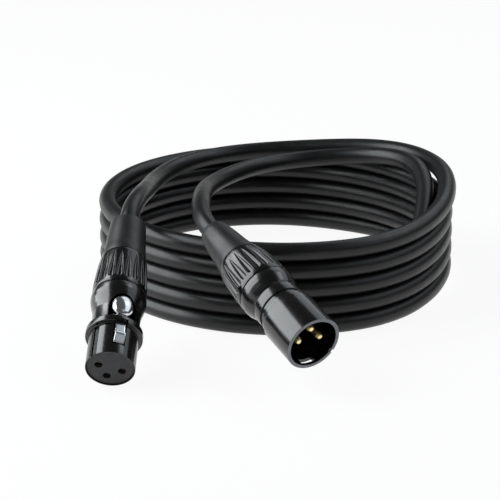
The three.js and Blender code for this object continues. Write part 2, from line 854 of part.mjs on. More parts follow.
function femaleConnector() {
  const frame = femalePlace.frame;
  const f = female;
  const insert = femaleInsert();
  frame.add(node('female_shell', femaleShell(), blackMetal));
  frame.add(node('female_insert', insert.body, darkInsert));
  contactPlaces.forEach(([x, y], i) => {
    frame.add(node(`female_socket_${i + 1}`, contactSocket().translate([x, y, 0]), gold));
  });
  const pin = crossRod(latch.pinR, pinLength(), latch.pivotHeight, latch.pivotAt);
  frame.add(node('latch_lever', latchLever(), chrome));
  frame.add(node('latch_pin', pin, chrome));
  frame.add(node('latch_spring', latchSpring(insert.shelfTop), chrome));
  const ribbed = collar(f.shellEnd, f.spigotEnd, f.boreR, f.bodyR - edge / 2, f.collarTailR);
  frame.add(node('female_cable_clamp', chuck(f.spigotEnd), greyPlastic));
  frame.add(node('female_collar', ribbed.body, blackPlastic));
  frame.add(node('female_boot', boot(f, ribbed.end), blackRubber));
  frame.add(...cores('female', f.cupEnd, femaleLead.jacketEnd));
  return frame;
}

// ---- Assembly ---------------------------------------------------------------------------------------

const assembly = new THREE.Group();
assembly.position.set(ringCentre.x, ringCentre.y, 0);
assembly.add(node('cable_coil', coilSolid(), jacket));
const maleTube = sweep(maleLead.path, cableR, cableSides, leadSteps.male);
assembly.add(node('cable_lead_male', maleTube, jacket));
const femaleTube = sweep(femaleLead.path, cableR, cableSides, leadSteps.female);
assembly.add(node('cable_lead_female', femaleTube, jacket));
assembly.add(maleConnector());
assembly.add(femaleConnector());

const coilLength = stations.reduce((sum, station, i) => {
  if (i === 0) return 0;
  const drop = station.height - stations[i - 1].height;
  return sum + Math.hypot(station.centre.distanceTo(stations[i - 1].centre), drop);
}, 0);
console.log(`least gap between turns ${leastTurnGap().toFixed(2)} mm`);
console.log(`coil ${coilLength.toFixed(0)} mm`);
console.log(`leads ${maleLead.length.toFixed(0)} and ${femaleLead.length.toFixed(0)} mm`);

const object = new THREE.Group();
object.add(assembly);
export default object;
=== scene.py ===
"""Looks of a coiled microphone cable with its two connectors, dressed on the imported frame."""

import math

import bmesh
import bpy
import numpy
from mathutils import Matrix, Vector


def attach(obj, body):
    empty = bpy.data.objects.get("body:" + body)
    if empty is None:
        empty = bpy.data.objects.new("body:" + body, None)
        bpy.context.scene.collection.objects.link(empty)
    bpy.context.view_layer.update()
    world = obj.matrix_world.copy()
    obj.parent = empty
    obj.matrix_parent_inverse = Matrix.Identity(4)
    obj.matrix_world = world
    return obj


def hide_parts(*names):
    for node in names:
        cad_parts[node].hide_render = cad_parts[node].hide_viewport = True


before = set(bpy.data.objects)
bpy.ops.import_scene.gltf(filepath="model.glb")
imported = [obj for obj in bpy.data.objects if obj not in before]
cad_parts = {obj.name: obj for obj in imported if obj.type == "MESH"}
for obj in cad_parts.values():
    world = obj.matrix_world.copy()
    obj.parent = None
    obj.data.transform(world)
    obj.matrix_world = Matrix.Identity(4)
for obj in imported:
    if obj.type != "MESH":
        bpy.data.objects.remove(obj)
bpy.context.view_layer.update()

MM = 0.001

# ---- Sizes and places ------------------------------------------------------------------------------
# The cable is in metres, and angles are in degrees. Each connector has a frame of its own in mm, with z
# along its axis from the nose to the cable and y towards its latch or its window.

CABLE_R = 0.0033
RING_CENTRE = Vector((-0.00067, 0.02803, 0.0))
RING_HALF_WIDTH = 0.0618
RING_HALF_DEPTH = 0.0678
RING_LEAN = 0.0026
TURN_PITCH = 0.0066
CLIMB_FROM = -60
CLIMB_SPAN = 80
START_ANGLE = 60
END_ANGLE = 1740
STEP_ANGLE = 15

# How the cable's line is drawn.
CABLE_STEP = 0.0022
PARTS_OF_STEP = 4  # points worked out for each step, before they are spaced evenly
HELD_STRAIGHT = 0.0325  # of each end
CABLE_STIFFNESS = 300  # against a pull of one to the route's own place
HELD = 1e7  # pull on a point that stays in its place

MALE_RIM_R = 9.5
MALE_BOOT_END = 66.0
FEMALE_NOSE_R = 8.05
FEMALE_BOOT_END = 65.0
INSIDE_BOOT = 28.0  # length of the declared cable inside each connector
STRAIGHT_BEYOND_BOOT = 4.5
LAST_STRAIGHT_STEP = 1.5

# Poses of the connectors: the nose is measured from the middle of the ring.
MALE_POSE = {
    "nose": (10.76, -121.8),
    "rim": MALE_RIM_R,
    "lift": 7.0,
    "heading": -31.2,
    "rise": 18.4,
    "roll": 178,
}
FEMALE_POSE = {
    "nose": (-53.72, -120.65),
    "rim": FEMALE_NOSE_R,
    "lift": 0,
    "heading": 3.02,
    "rise": 27.76,
    "roll": 21,
}

# Route of the male lead from its boot to the first turn, measured from the middle of the ring.
MALE_ROUTE = [
    (-0.0260, -0.0374, 0.0402),
    (-0.0260, -0.0267, 0.0385),
    (-0.0250, -0.0098, 0.0365),
    (-0.0205, 0.0089, 0.0345),
    (-0.0132, 0.0252, 0.0335),
    (-0.0055, 0.0366, 0.0330),
    (0.0102, 0.0461, 0.0328),
    (0.0197, 0.0466, 0.0335),
    (0.0287, 0.0454, 0.0343),
    (0.0372, 0.0424, 0.0353),
    (0.0450, 0.0369, 0.0366),
    (0.0506, 0.0290, 0.0367),
    (0.0542, 0.0196, 0.0365),
    (0.0557, 0.0096, 0.0350),
    (0.0552, -0.0014, 0.0300),
    (0.0525, -0.0156, 0.0240),
    (0.0473, -0.0299, 0.0160),
    (0.0392, -0.0422, 0.0100),
    (0.0287, -0.0515, 0.0055),
    (0.0161, -0.0573, 0.0035),
    (0.0026, -0.0580, 0.00335),
    (-0.0100, -0.0560, 0.0033),
    (-0.0298, -0.0478, 0.0033),
    (-0.0380, -0.0280, 0.0033),
    (-0.0298, -0.0082, 0.0033),
    (-0.0100, 0.0000, 0.0033),
    (0.0080, 0.0008, 0.0033),
    (0.0260, 0.0016, 0.0033),
    (0.0451, 0.0095, 0.0033),
    (0.0530, 0.0286, 0.0033),
    (0.0494, 0.0421, 0.0033),
]

# Route of the female lead from its boot to the last turn.
FEMALE_ROUTE = [
    (-0.0483, -0.0440, 0.0412),
    (-0.0470, -0.0320, 0.0404),
    (-0.0464, -0.0200, 0.0388),
    (-0.0459, -0.0090, 0.0370),
    (-0.0451, 0.0020, 0.0355),
    (-0.0436, 0.0130, 0.0344),
    (-0.0412, 0.0230, 0.0337),
    (-0.0377, 0.0330, 0.0333),
    (-0.0325, 0.0420, 0.0331),
    (-0.0253, 0.0494, 0.0330),
    (-0.0160, 0.0548, 0.0332),
    (-0.0053, 0.0576, 0.0335),
    (0.0105, 0.0570, 0.0345),
    (0.0278, 0.0535, 0.0360),
    (0.0410, 0.0500, 0.0369),
    (0.0506, 0.0429, 0.0370),
    (0.0586, 0.0302, 0.0368),
    (0.0629, 0.0148, 0.0366),
    (0.0633, 0.0000, 0.0353),
    (0.0609, -0.0176, 0.0336),
    (0.0548, -0.0339, 0.0318),
    (0.0455, -0.0479, 0.0304),
]


# ---- Frames of the connectors ----------------------------------------------------------------------


def connector_matrix(pose):
    """Takes a point of a connector's own frame, in mm, to the row frame, in metres."""
    heading = math.radians(pose["heading"])
    rise = math.radians(pose["rise"])
    axis = Vector(
        (
            math.sin(heading) * math.cos(rise),
            math.cos(heading) * math.cos(rise),
            math.sin(rise),
        )
    )
    up = Vector((0, 0, 1))
    up = (up - axis * up.dot(axis)).normalized()
    up.rotate(Matrix.Rotation(math.radians(pose["roll"]), 3, axis))
    across = up.cross(axis)
    turn = Matrix((across, up, axis)).transposed().to_4x4()
    nose = Vector((*pose["nose"], pose["rim"] * math.cos(rise) + pose["lift"])) * MM
    return Matrix.Translation(RING_CENTRE + nose) @ turn @ Matrix.Scale(MM, 4)


MALE = connector_matrix(MALE_POSE)
FEMALE = connector_matrix(FEMALE_POSE)


def on_axis(place, distance):
    return place @ Vector((0, 0, distance))


# ---- Camera ----------------------------------------------------------------------------------------

CAMERA_PLACE = (-0.00997, -0.70882, 0.23434)
CAMERA_TILT = 73.057  # degrees up from straight down
CAMERA_LENS = 148.68
SENSOR = 36.0


def add_camera():
    data = bpy.data.cameras.new("camera")
    data.lens = CAMERA_LENS
    data.sensor_width = SENSOR
    data.clip_start = 0.01
    camera = bpy.data.objects.new("camera", data)
    camera.location = CAMERA_PLACE
    camera.rotation_euler = (math.radians(CAMERA_TILT), 0, 0)
    bpy.context.scene.collection.objects.link(camera)
    bpy.context.scene.camera = camera


add_camera()

# ---- Cable -----------------------------------------------------------------------------------------


def ring_point(angle):
    a = math.radians(angle)
    x = RING_HALF_WIDTH * math.cos(a) - RING_LEAN * math.sin(a)
    return Vector((x, RING_HALF_DEPTH * math.sin(a), turn_height(angle)))


def ring_tangent(angle):
    a = math.radians(angle)
    x = -RING_HALF_WIDTH * math.sin(a) - RING_LEAN * math.cos(a)
    return Vector((x, RING_HALF_DEPTH * math.cos(a), 0)).normalized()


def turn_height(angle):
    """Height of the cable's middle: level, with one climb of a pitch in each turn."""
    laps = math.floor((angle - CLIMB_FROM) / 360) - 1
    along = min(1.0, (angle - CLIMB_FROM - 360 * (laps + 1)) / CLIMB_SPAN)
    climb = along * along * (3 - 2 * along)
    return CABLE_R + TURN_PITCH * (laps + climb)


def spline_through(points, spacing):
    """A centripetal Catmull-Rom line through the points, cut into even steps."""
    ends = [points[0] * 2 - points[1], *points, points[-1] * 2 - points[-2]]
    line = []
    for p0, p1, p2, p3 in zip(ends, ends[1:], ends[2:], ends[3:]):
        t1 = math.sqrt((p1 - p0).length)
        t2 = t1 + math.sqrt((p2 - p1).length)
        t3 = t2 + math.sqrt((p3 - p2).length)
        count = max(2, round((p2 - p1).length / spacing * PARTS_OF_STEP))
        for i in range(count):
            t = t1 + (t2 - t1) * i / count
            a1 = p0.lerp(p1, t / t1)
            a2 = p1.lerp(p2, (t - t1) / (t2 - t1))
            a3 = p2.lerp(p3, (t - t2) / (t3 - t2))
            b1 = a1.lerp(a2, t / t2)
            b2 = a2.lerp(a3, (t - t1) / (t3 - t1))
            line.append(b1.lerp(b2, (t - t1) / (t2 - t1)))
    line.append(points[-1].copy())
    return even_steps(line, spacing)


def even_steps(line, spacing):
    """The same line with points an equal distance apart."""
    total = sum((b - a).length for a, b in zip(line, line[1:]))
    count = round(total / spacing)
    step = total / count
    result = [line[0].copy()]
    travelled = 0.0
    for a, b in zip(line, line[1:]):
        length = (b - a).length
        while len(result) < count and travelled + length >= step * len(result):
            share = (step * len(result) - travelled) / length
            result.append(a.lerp(b, share))
        travelled += length
    result.append(line[-1].copy())
    return result


def lead_start(place, boot_end):
    """The straight part of a lead, from inside the connector to a little past the boot."""
    nearly = STRAIGHT_BEYOND_BOOT - LAST_STRAIGHT_STEP
    beyond = (-INSIDE_BOOT, -INSIDE_BOOT / 2, 0, nearly, STRAIGHT_BEYOND_BOOT)
    return [on_axis(place, boot_end + d) for d in beyond]


def cable_points():
    straight = 2 * CABLE_R
    first = ring_point(START_ANGLE) - ring_tangent(START_ANGLE) * straight
    last = ring_point(END_ANGLE) + ring_tangent(END_ANGLE) * straight
    before = first - ring_tangent(START_ANGLE) * straight
    points = lead_start(MALE, MALE_BOOT_END)
    points += [RING_CENTRE + Vector(p) for p in MALE_ROUTE]
    points += [RING_CENTRE + before, RING_CENTRE + first]
    for angle in range(START_ANGLE, END_ANGLE + 1, STEP_ANGLE):
        points.append(RING_CENTRE + ring_point(angle))
    points.append(RING_CENTRE + last)
    points += [RING_CENTRE + Vector(p) for p in reversed(FEMALE_ROUTE)]
    points += list(reversed(lead_start(FEMALE, FEMALE_BOOT_END)))
    return points


def nearest(line, place):
    return min(range(len(line)), key=lambda i: (line[i] - place).length)


def without_kinks(line, held_first, held_last):
    """The line bent as little as it can be close to its route, with the points at its ends held."""
    weight = numpy.ones(len(line))
    weight[:held_first] = HELD
    weight[-held_last:] = HELD
    bends = numpy.diff(numpy.eye(len(line)), 2, axis=0)
    system = numpy.diag(weight) + CABLE_STIFFNESS * bends.T @ bends
    places = numpy.array([tuple(point) for point in line])
    return [Vector(point) for point in numpy.linalg.solve(system, weight[:, None] * places)]


def cable_line():
    """The whole cable: the turns as they are, and the two leads without kinks."""
    line = spline_through(cable_points(), CABLE_STEP)
    first = nearest(line, RING_CENTRE + ring_point(START_ANGLE + STEP_ANGLE))
    last = nearest(line, RING_CENTRE + ring_point(END_ANGLE - STEP_ANGLE))
    straight = round(HELD_STRAIGHT / CABLE_STEP)
    male_lead = without_kinks(line[: first + 2], straight, 2)
    female_lead = without_kinks(line[last - 1 :], 2, straight)
    return male_lead + line[first + 2 : last - 1] + female_lead


def add_cable():
    line = cable_line()
    data = bpy.data.curves.new("cable", "CURVE")
    data.dimensions = "3D"
    data.bevel_depth = CABLE_R
    data.bevel_resolution = 7
    data.use_fill_caps = True
    data.twist_mode = "MINIMUM"
    spline = data.splines.new("POLY")
    spline.points.add(len(line) - 1)
    for point, place in zip(spline.points, line):
        point.co = (*place, 1)
    spline.use_smooth = True
    cable = bpy.data.objects.new("cable", data)
    bpy.context.scene.collection.objects.link(cable)
    length = sum((b - a).length for a, b in zip(line, line[1:]))
    return cable, length


cable, cable_length = add_cable()

# ---- Mesh helpers ----------------------------------------------------------------------------------

ON_AXIS = 1e-6  # a smaller radius is a point on the axis
FILLET_STEPS = 4
FILLET_SHARE = 0.45  # the most of a side that a fillet takes
ROUND_SIDES = 96
SHELL_SIDES = 128
PIN_SIDES = 40
SMALL_SIDES = 32


def link_mesh(name, mesh):
    piece = bpy.data.objects.new(name, mesh)
    bpy.context.scene.collection.objects.link(piece)
    return piece


def mesh_piece(name, mesh, place):
    """A piece from a mesh in a connector's frame, with its faces outward."""
    bmesh.ops.recalc_face_normals(mesh, faces=mesh.faces)
    data = bpy.data.meshes.new(name)
    mesh.to_mesh(data)
    mesh.free()
    data.transform(place)
    return link_mesh(name, data)


def round_axis(radius, turn, distance):
    """The point at a turn about a connector's axis, in radians from its latch or window."""
    return radius * math.sin(turn), radius * math.cos(turn), distance


def join_loops(mesh, low, high):
    """Faces between two closed loops of points. Either may be a single point."""
    sides = max(len(low), len(high))
    for i in range(sides):
        j = (i + 1) % sides
        corners = [low[i % len(low)], low[j % len(low)], high[j % len(high)], high[i % len(high)]]
        corners = list(dict.fromkeys(corners))
        if len(corners) > 2:
            mesh.faces.new(corners)


def rounded(outline, closed=True):
    """Rounds the corners of an outline of (radius, distance, fillet) points."""
    result = []
    count = len(outline)
    for i, (r, s, fillet) in enumerate(outline):
        here = Vector((r, s))
        if fillet <= 0 or (not closed and i in (0, count - 1)):
            result.append((r, s))
            continue
        before = Vector(outline[i - 1][:2]) - here
        after = Vector(outline[(i + 1) % count][:2]) - here
        half = before.angle(after) / 2
        reach = min(fillet / math.tan(half), before.length * FILLET_SHARE, after.length * FILLET_SHARE)
        a = here + before.normalized() * reach
        b = here + after.normalized() * reach
        for k in range(FILLET_STEPS + 1):
            t = k / FILLET_STEPS
            p = a.lerp(here, t).lerp(here.lerp(b, t), t)
            result.append((p.x, p.y))
    return result


def revolve(name, outline, place, sides=ROUND_SIDES, closed=True):
    """A solid of revolution about a connector's axis, from (radius, distance) points."""
    mesh = bmesh.new()
    rings = []
    for r, s in outline:
        if r < ON_AXIS:
            rings.append([mesh.verts.new((0, 0, s))])
            continue
        turns = [2 * math.pi * i / sides for i in range(sides)]
        rings.append([mesh.verts.new(round_axis(r, turn, s)) for turn in turns])
    pairs = list(zip(rings, rings[1:]))
    if closed:
        pairs.append((rings[-1], rings[0]))
    for low, high in pairs:
        join_loops(mesh, low, high)
    return mesh_piece(name, mesh, place)


def box_piece(name, low, high, place, turn):
    """A plain box in a connector's frame, turned about its axis."""
    mesh = bmesh.new()
    bmesh.ops.create_cube(mesh, size=1)
    size = Matrix.Diagonal((high[0] - low[0], high[1] - low[1], high[2] - low[2], 1))
    middle = Matrix.Translation([(a + b) / 2 for a, b in zip(low, high)])
    spin = Matrix.Rotation(math.radians(turn), 4, "Z")
    return mesh_piece(name, mesh, place @ spin @ middle @ size)


def combine(piece, other, operation):
    """Cuts or joins another closed piece, and takes that piece away."""
    modifier = piece.modifiers.new("combine", "BOOLEAN")
    modifier.operation = operation
    modifier.solver = "EXACT"
    modifier.object = other
    graph = bpy.context.evaluated_depsgraph_get()
    data = bpy.data.meshes.new_from_object(piece.evaluated_get(graph), depsgraph=graph)
    piece.modifiers.clear()
    piece.data = data
    bpy.data.objects.remove(other)


def combine_boxes(piece, boxes, place):
    """Cuts or joins boxes of (name, corner, far corner, turn about the axis, operation)."""
    for name, low, high, turn, operation in boxes:
        combine(piece, box_piece(name, low, high, place, turn), operation)


def smooth(piece, angle=35):
    data = piece.data
    for polygon in data.polygons:
        polygon.use_smooth = True
    data.set_sharp_from_angle(angle=math.radians(angle))


def dress(piece, material, slot, body, *nodes):
    """Gives a piece its finish, its body and the nodes that it stands for."""
    piece.data.materials.clear()
    piece.data.materials.append(material)
    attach(piece, body)
    if nodes:
        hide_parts(*nodes)


# ---- Materials -------------------------------------------------------------------------------------

NOISE_DETAIL = 3.0
GRAIN_DETAIL = 2.0
ROUGHNESS_NOISE = (0.3, 0.7)  # values of the noise where roughness is lowest and highest
COLOUR_NOISE = (0.35, 0.65)  # and where colour is darkest and lightest
COAT_ROUGHNESS = 0.1


def new_material(name, colour, roughness, metallic=0.0, coat=0.0, specular=0.5):
    material = bpy.data.materials.new(name)
    material.use_nodes = True
    shader = material.node_tree.nodes["Principled BSDF"]
    shader.inputs["Base Color"].default_value = (*colour, 1)
    shader.inputs["Roughness"].default_value = roughness
    shader.inputs["Metallic"].default_value = metallic
    shader.inputs["Coat Weight"].default_value = coat
    shader.inputs["Coat Roughness"].default_value = COAT_ROUGHNESS
    shader.inputs["Specular IOR Level"].default_value = specular
    return material


def add_noise(material, scale, detail=NOISE_DETAIL):
    tree = material.node_tree
    where = tree.nodes.new("ShaderNodeTexCoord")
    noise = tree.nodes.new("ShaderNodeTexNoise")
    noise.inputs["Scale"].default_value = scale
    noise.inputs["Detail"].default_value = detail
    tree.links.new(where.outputs["Object"], noise.inputs["Vector"])
    return noise


def vary_roughness(material, low, high, scale):
    """Roughness that drifts between two values over the surface."""
    tree = material.node_tree
    noise = add_noise(material, scale)
    spread = tree.nodes.new("ShaderNodeMapRange")
    spread.inputs["From Min"].default_value = ROUGHNESS_NOISE[0]
    spread.inputs["From Max"].default_value = ROUGHNESS_NOISE[1]
    spread.inputs["To Min"].default_value = low
    spread.inputs["To Max"].default_value = high
    tree.links.new(noise.outputs["Fac"], spread.inputs["Value"])
    shader = tree.nodes["Principled BSDF"]
    tree.links.new(spread.outputs["Result"], shader.inputs["Roughness"])


def vary_colour(material, dark, light, scale):
    """Colour that drifts between two shades over the surface."""
    tree = material.node_tree
    noise = add_noise(material, scale)
    ramp = tree.nodes.new("ShaderNodeValToRGB")
    for element, position, colour in zip(ramp.color_ramp.elements, COLOUR_NOISE, (dark, light)):
        element.position = position
        element.color = (*colour, 1)
    tree.links.new(noise.outputs["Fac"], ramp.inputs["Fac"])
    shader = tree.nodes["Principled BSDF"]
    tree.links.new(ramp.outputs["Color"], shader.inputs["Base Color"])


def add_grain(material, scale, strength, distance):
    """Fine moulded or sprayed grain as a bump."""
    tree = material.node_tree
    noise = add_noise(material, scale, GRAIN_DETAIL)
    bump = tree.nodes.new("ShaderNodeBump")
    bump.inputs["Strength"].default_value = strength
    bump.inputs["Distance"].default_value = distance
    tree.links.new(noise.outputs["Fac"], bump.inputs["Height"])
    shader = tree.nodes["Principled BSDF"]
    tree.links.new(bump.outputs["Normal"], shader.inputs["Normal"])


def jacket_material():
    material = new_material("cable_jacket", (0.005, 0.005, 0.0055), 0.38, specular=0.38)
    vary_colour(material, (0.004, 0.004, 0.0045), (0.0065, 0.0065, 0.007), 160)
    vary_roughness(material, 0.33, 0.42, 220)
    add_grain(material, 2600, 0.05, 0.00005)
    return material


def shell_material():
    material = new_material("black_shell", (0.002, 0.002, 0.0022), 0.22, coat=0.35)
    vary_roughness(material, 0.18, 0.26, 300)
    add_grain(material, 3500, 0.02, 0.00002)
    return material


def rim_material():
    material = new_material("shell_rim", (0.16, 0.168, 0.18), 0.3, metallic=0.6)
    vary_roughness(material, 0.24, 0.36, 500)
    return material


def collar_material():
    material = new_material("collar_plastic", (0.002, 0.002, 0.0022), 0.2, coat=0.15)
    vary_roughness(material, 0.15, 0.24, 400)
    add_grain(material, 3000, 0.03, 0.00003)
    return material


def boot_material():
    material = new_material("boot_rubber", (0.006, 0.006, 0.0065), 0.42)
    vary_roughness(material, 0.38, 0.47, 350)
    add_grain(material, 4200, 0.08, 0.00005)
    return material


def insert_material():
    material = new_material("insert_plastic", (0.034, 0.034, 0.036), 0.6, specular=0.4)
    vary_roughness(material, 0.52, 0.68, 500)
    add_grain(material, 5000, 0.15, 0.0001)
    return material


def chrome_material():
    material = new_material("latch_chrome", (0.72, 0.75, 0.78), 0.14, metallic=1.0)
    vary_roughness(material, 0.1, 0.2, 600)
    return material


def gold_material():
    material = new_material("gold_contact", (1.0, 0.84, 0.44), 0.42, metallic=1.0)
    vary_roughness(material, 0.38, 0.47, 800)
    return material


def clamp_material():
    material = new_material("clamp_plastic", (0.09, 0.09, 0.095), 0.5)
    vary_roughness(material, 0.45, 0.58, 500)
    return material


def core_material(name, colour):
    material = new_material(name, colour, 0.4)
    vary_roughness(material, 0.35, 0.45, 700)
    return material


def copper_material():
    material = new_material("drain_copper", (0.75, 0.36, 0.2), 0.3, metallic=1.0)
    add_grain(material, 2500, 0.4, 0.0002)
    return material


JACKET = jacket_material()
SHELL = shell_material()
RIM = rim_material()
COLLAR = collar_material()
BOOT = boot_material()
INSERT = insert_material()
CHROME = chrome_material()
GOLD = gold_material()
CLAMP = clamp_material()
RED = core_material("core_red", (0.45, 0.02, 0.02))
WHITE = core_material("core_white", (0.75, 0.75, 0.72))
COPPER = copper_material()

dress(cable, JACKET, "cable_jacket", "root", "cable_coil", "cable_lead_male", "cable_lead_female")

# ---- Pieces of both connectors ---------------------------------------------------------------------

CONTACT_CIRCLE = 3.95
CONTACT_PLACES = [(CONTACT_CIRCLE, 0), (-CONTACT_CIRCLE, 0), (0, -CONTACT_CIRCLE)]
KEY_ANGLE = 58
SEAT = 0.3  # between two pieces that rest against each other
SHELL_BORE = 6.6
SPIGOT_R = 7.45
SPIGOT_LENGTH = 6.3
CLAMP_R = 6.3
CLAMP_TAIL_R = 5.1
BOOT_BORE = 3.42
BOOT_SLEEVE = 3.2  # length of a boot inside its collar
STUB_FROM = 31.8
HAIR = 0.01  # keeps two faces out of one plane

COLLAR_LENGTH = 16.2
COLLAR_MOUTH = 3.4  # length of its narrow rear bore
FRONT_EDGE = [(0.3, 0), (0.1, 0.1)]  # mm down from the surface and in from the end
REAR_EDGE = [(0.08, 0.1), (0.25, 0)]
FIRST_ROWS = [0.35, 1.2, 1.8]  # before the flutes
ROW_STEP = 0.5
PAST_FLUTES = 0.1
EASED_OVER = (-0.9, -0.45, 0, 0.45, 0.9)  # mm to either side

# A flute is a teardrop along a collar, its distances measured from the shell end of the collar.
FLUTES = 20
FLUTE_FROM = 1.9
FLUTE_WIDEST = 3.0
FLUTE_END = 14.7
FLUTE_TAPER = 1.7
FLUTE_HALF = 0.94
FLUTE_LEAST_HALF = 0.03
FLUTE_DEEP = 0.72
FLUTE_RAMP = 1.25  # full depth where the width is its widest divided by this
FLUTE_CUT = [(0, 1), (0.3, 0.96), (0.55, 0.87), (0.75, 0.74), (0.9, 0.57), (0.97, 0.44), (1, 0.36)]
FLUTE_SHOULDER = [(0.05, 0.25), (0.11, 0.15), (0.18, 0.07), (0.26, 0.02), (0.34, 0.0)]


def flute_half(along):
    """Half width of a flute, as a share of its widest."""
    if not FLUTE_FROM < along < FLUTE_END:
        return 0.0
    if along < FLUTE_WIDEST:
        return math.sqrt(1 - ((FLUTE_WIDEST - along) / (FLUTE_WIDEST - FLUTE_FROM)) ** 2)
    return 1 - ((along - FLUTE_WIDEST) / (FLUTE_END - FLUTE_WIDEST)) ** FLUTE_TAPER


def flute_columns(share, radius, body_r):
    """Offsets from a flute's middle line and the depths there: half a pitch of the ribbed section."""
    pitch = math.pi * radius / FLUTES
    half = max(FLUTE_LEAST_HALF, share * FLUTE_HALF) * radius / body_r
    deep = FLUTE_DEEP * min(1.0, share * FLUTE_RAMP)
    columns = [(half * across, deep * d) for across, d in FLUTE_CUT]
    columns += [(half + beyond, deep * d) for beyond, d in FLUTE_SHOULDER]
    columns.append(((columns[-1][0] + pitch) / 2, 0.0))
    columns.append((pitch, 0.0))
    return columns


def fluted_loop(mesh, radius, distance, share, body_r):
    """One closed loop of points round a collar, with the cut of every flute in it."""
    half_section = flute_columns(share, radius, body_r)
    section = [(-across, deep) for across, deep in reversed(half_section[1:-1])] + half_section
    loop = []
    for flute in range(FLUTES):
        for across, deep in section:
            turn = 2 * math.pi * flute / FLUTES + across / radius
            loop.append(mesh.verts.new(round_axis(radius - deep, turn, distance)))
    return loop


def collar_rows(start, profile):
    """Radii and distances down the outside of a collar, close together at the flutes' round ends."""
    end = start + COLLAR_LENGTH
    reach = FLUTE_WIDEST - FLUTE_FROM
    taper_rows = math.ceil((FLUTE_END - FLUTE_WIDEST) / ROW_STEP)
    alongs = list(FIRST_ROWS)
    alongs += [FLUTE_WIDEST - reach * math.cos(math.radians(a)) for a in range(4, 91, 8)]
    alongs += [FLUTE_WIDEST + ROW_STEP * i for i in range(1, taper_rows)]
    alongs += [FLUTE_END + PAST_FLUTES, COLLAR_LENGTH - ROW_STEP]
    rows = [(profile(start) - down, start + along) for down, along in FRONT_EDGE]
    rows += [(profile(start + a), start + a) for a in sorted(alongs)]
    rows += [(profile(end) - down, end - along) for down, along in REAR_EDGE]
    return rows


def profile_through(points):
    """Radius against distance, an eased line through (distance, radius) points."""

    def radius(s):
        for (s0, r0), (s1, r1) in zip(points, points[1:]):
            if s <= s1:
                break
        t = min(1.0, max(0.0, (s - s0) / (s1 - s0)))
        return r0 + (r1 - r0) * t

    def eased(s):
        return sum(radius(s + step) for step in EASED_OVER) / len(EASED_OVER)

    return eased


def collar(name, shell_end, points, place, body, node):
    """A ribbed collar, from the (distance, radius) points down its outside."""
    start = shell_end + SEAT
    end = start + COLLAR_LENGTH
    spigot_room = shell_end + SPIGOT_LENGTH + SEAT
    outer = collar_rows(start, profile_through(points))
    inner = [
        (CLAMP_TAIL_R + SEAT, end),
        (CLAMP_TAIL_R + SEAT, end - COLLAR_MOUTH),
        (CLAMP_R + SEAT, spigot_room),
        (SPIGOT_R + SEAT, spigot_room),
        (SPIGOT_R + SEAT, start),
    ]
    body_r = points[0][1]
    mesh = bmesh.new()
    loops = [fluted_loop(mesh, r, s, flute_half(s - start), body_r) for r, s in outer]
    loops += [fluted_loop(mesh, r, s, 0.0, body_r) for r, s in inner]
    for low, high in zip(loops, loops[1:] + loops[:1]):
        join_loops(mesh, low, high)
    piece = mesh_piece(name, mesh, place)
    smooth(piece, angle=38)
    dress(piece, COLLAR, "collar_plastic", body, node)
    return piece


def boot(name, shell_end, outside, place, body, node):
    """A rubber boot, from the (radius, distance, fillet) points down its outside."""
    collar_end = shell_end + SEAT + COLLAR_LENGTH
    end = outside[-1][1]
    sleeve = [(CLAMP_TAIL_R, collar_end - BOOT_SLEEVE, 0), (CLAMP_TAIL_R, collar_end + SEAT, 0)]
    bore = [(BOOT_BORE, end, 0.1), (BOOT_BORE, collar_end - BOOT_SLEEVE, 0)]
    piece = revolve(name, rounded(sleeve + outside + bore), place)
    smooth(piece)
    dress(piece, BOOT, "boot_rubber", body, node)
    return piece


def cable_stub(name, place, boot_end):
    """The cable inside a connector, from the clamp to a hair before the cord."""
    radius = CABLE_R / MM - HAIR
    end = boot_end - INSIDE_BOOT - 2 * HAIR
    outline = [(0, STUB_FROM), (radius, STUB_FROM), (radius, end), (0, end)]
    piece = revolve(name, outline, place, sides=SMALL_SIDES, closed=False)
    smooth(piece)
    dress(piece, JACKET, "cable_jacket", "root")
    return piece


def drill_contacts(insert, name, hole, place):
    """Cuts a hole of (radius, distance) points at the place of each contact."""
    for i, (x, y) in enumerate(CONTACT_PLACES):
        at = place @ Matrix.Translation((x, y, 0))
        cutter = revolve(f"{name}_{i}", hole, at, sides=SMALL_SIDES, closed=False)
        combine(insert, cutter, "DIFFERENCE")


# ---- Male connector --------------------------------------------------------------------------------

MALE_SHELL_END = 30.0
MALE_SPIGOT_END = MALE_SHELL_END + SPIGOT_LENGTH
SOCKET_R = 8.28
RIM_FACE = 0.12  # a face nearer the front than this belongs to the rim's flat end
MALE_SHELL_BOXES = [
    ("window", (-2.5, 7.2, 1.2), (2.5, 10.5, 3.1), 0, "DIFFERENCE"),
    ("pocket", (-2, 7.2, 3.7), (2, 9.2, 6.2), 0, "DIFFERENCE"),
    ("notch", (-0.6, 8.0, -1), (0.6, 10.5, 0.55), -KEY_ANGLE, "DIFFERENCE"),
    ("key", (-0.75, 7.58, 8.0), (0.75, 8.6, 14.7), -KEY_ANGLE, "UNION"),
]
MALE_HOLE = [(0, 14), (1.9, 14), (1.5, 15.4), (1.5, 24.5), (0, 24.5)]
MALE_COLLAR_PROFILE = [(30.3, 9.6), (34.5, 9.55), (38.6, 9.3), (42, 8.95), (45.5, 8.35), (46.5, 8.1)]
MALE_BOOT_OUTSIDE = [
    (7.7, 46.8, 0.3),
    (7.45, 48.6, 0.8),
    (6.75, 52.4, 3),
    (5.95, 59.5, 4),
    (5.3, 63.5, 1.5),
    (4.62, MALE_BOOT_END, 0.35),
]


